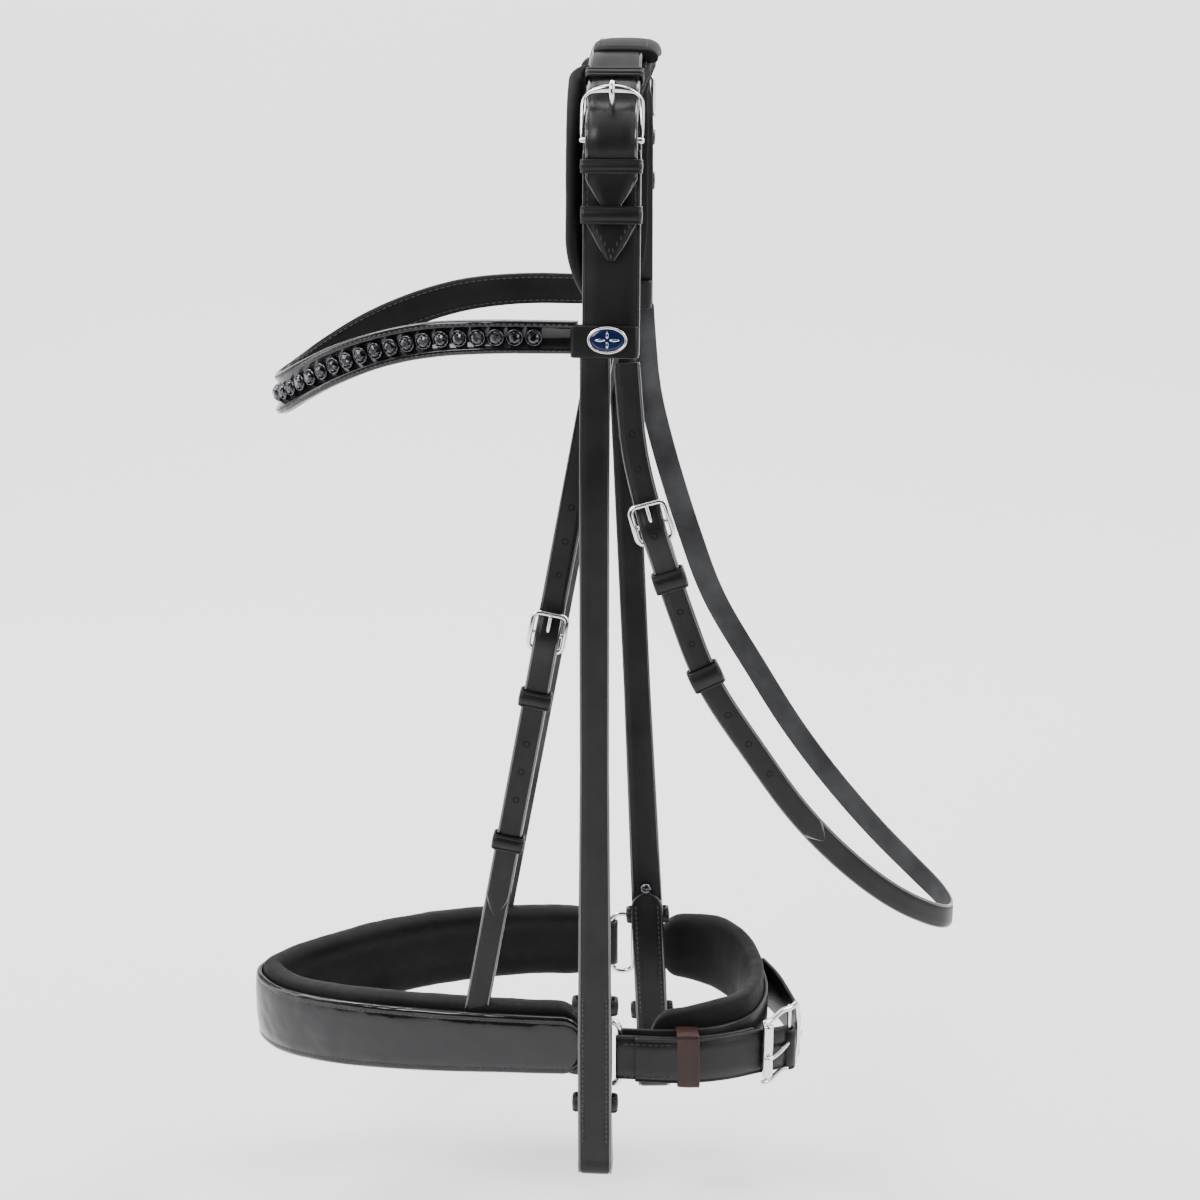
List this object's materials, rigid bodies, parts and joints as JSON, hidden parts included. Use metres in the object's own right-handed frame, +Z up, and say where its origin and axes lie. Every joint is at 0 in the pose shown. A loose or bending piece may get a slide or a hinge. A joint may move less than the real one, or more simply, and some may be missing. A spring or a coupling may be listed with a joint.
{
  "type": "snaffle bridle",
  "caption": "Black leather snaffle bridle with padded crown, jewelled browband, plain cheekpieces, throatlash and padded patent crank noseband.",
  "frame": {"origin": "underside of the crown pad, at the middle of the poll", "axes": "+X to the horse's tail, -Y the near (left) side, +Z up; the bridle hangs from its crown"},
  "size_m": [0.393, 0.1563, 0.5967],
  "materials": {
    "leather": "black bridle leather, waxed face",
    "brown_leather": "dark brown bridle leather",
    "padding": "soft black nappa over padding",
    "patent": "black patent leather, high gloss",
    "steel": "polished stainless steel",
    "dark_metal": "dark plated cups",
    "crystal": "cut black crystal",
    "enamel": "navy enamel"
  },
  "bodies": {
    "root": {"browband_front": "patent", "browband_lining": "leather", "crown_pad": "padding", "crown_strap": "leather", "crystal_cups": "dark_metal", "crystals": "crystal", "far_badge_enamel": "enamel", "far_badge_rim": "steel", "far_browband_loop": "leather", "far_crown_buckle": "steel", "far_crown_chape": "leather", "far_crown_keepers": "leather", "far_headpiece": "leather", "near_badge_enamel": "enamel", "near_badge_rim": "steel", "near_browband_loop": "leather", "near_crown_buckle": "steel", "near_crown_chape": "leather", "near_crown_keepers": "leather", "near_headpiece": "leather", "noseband_headstrap": "leather"},
    "near_cheek": {"near_cheekpiece": "leather", "near_bit_keepers": "leather", "near_hook_stud": "steel"},
    "far_cheek": {"far_cheekpiece": "leather", "far_bit_keepers": "leather", "far_hook_stud": "steel"},
    "throatlash": {"throatlash_strap": "leather", "throatlash_billet": "leather", "throatlash_buckle": "steel", "throatlash_keeper": "leather"},
    "throatlash_tongue_body": {"throatlash_tongue": "steel"},
    "throatlash_runner_body": {"throatlash_runner": "leather"},
    "near_crown_tongue_body": {"near_crown_tongue": "steel"},
    "far_crown_tongue_body": {"far_crown_tongue": "steel"},
    "near_hanger_tongue_body": {"near_hanger_tongue": "steel"},
    "near_hanger_runner_body": {"near_hanger_runner": "leather"},
    "chin_roller_body": {"chin_roller": "steel"},
    "chin_tongue_body": {"chin_tongue": "steel"},
    "chin_runner_body": {"chin_runner": "brown_leather"},
    "noseband": {"chin_buckle": "steel", "chin_chape": "leather", "chin_keepers": "leather", "chin_pad": "padding", "chin_rivet": "steel", "chin_strap": "leather", "far_hanger_strap": "leather", "far_ring": "steel", "far_ring_tab": "leather", "near_hanger_billet": "leather", "near_hanger_buckle": "steel", "near_hanger_keeper": "leather", "near_hanger_strap": "leather", "near_ring": "steel", "near_ring_tab": "leather", "nosepiece_pad": "padding", "nosepiece_patent": "patent"}
  },
  "joints": [
    {"name": "near_cheek_swing", "type": "hinge", "parent": "root", "child": "near_cheek", "pos_m": [-0.0075, -0.0694, -0.1376], "axis": [-1, 0, 0], "range_deg": [0, 30]},
    {"name": "far_cheek_swing", "type": "hinge", "parent": "root", "child": "far_cheek", "pos_m": [-0.004, 0.0694, -0.1376], "axis": [1, 0, 0], "range_deg": [-0.5, 0]},
    {"name": "throatlash_swing", "type": "hinge", "parent": "root", "child": "throatlash", "pos_m": [0.0085, 0, -0.142], "axis": [0, 1, 0], "range_deg": [-12, 0]},
    {"name": "noseband_swing", "type": "hinge", "parent": "root", "child": "noseband", "pos_m": [-0.007, 0, -0.144], "axis": [0, 1, 0], "range_deg": [0, 1.3]},
    {"name": "near_crown_tongue_lift", "type": "hinge", "parent": "root", "child": "near_crown_tongue_body", "pos_m": [0, -0.06208, -0.03186], "axis": [1, 0, 0], "range_deg": [0, 12]},
    {"name": "far_crown_tongue_lift", "type": "hinge", "parent": "root", "child": "far_crown_tongue_body", "pos_m": [0, 0.06208, -0.03186], "axis": [-1, 0, 0], "range_deg": [0, 12]},
    {"name": "throatlash_tongue_lift", "type": "hinge", "parent": "throatlash", "child": "throatlash_tongue_body", "pos_m": [0.02229, -0.07556, -0.221], "axis": [0.9598, 0, 0.2807], "range_deg": [0, 12]},
    {"name": "throatlash_runner_slide", "type": "slide", "parent": "throatlash", "child": "throatlash_runner_body", "axis": [0.4213, 0, -0.9069], "range_m": [-0.002, 0.002]},
    {"name": "near_hanger_tongue_lift", "type": "hinge", "parent": "noseband", "child": "near_hanger_tongue_body", "pos_m": [-0.0331, -0.0616, -0.28358], "axis": [0.983, 0, -0.1838], "range_deg": [0, 12]},
    {"name": "near_hanger_runner_slide", "type": "slide", "parent": "noseband", "child": "near_hanger_runner_body", "axis": [-0.1838, 0, -0.983], "range_m": [-0.04, 0.025]},
    {"name": "chin_roller_spin", "type": "hinge", "parent": "noseband", "child": "chin_roller_body", "pos_m": [0.085, -0.0524, -0.5195], "axis": [0, 0, 1], "continuous": true},
    {"name": "chin_tongue_lift", "type": "hinge", "parent": "noseband", "child": "chin_tongue_body", "pos_m": [0.0966, -0.035, -0.522], "axis": [0, 0, 1], "range_deg": [0, 12]},
    {"name": "chin_runner_slide", "type": "slide", "parent": "noseband", "child": "chin_runner_body", "axis": [1, 0, 0], "range_m": [0, 0.002]}
  ]
}
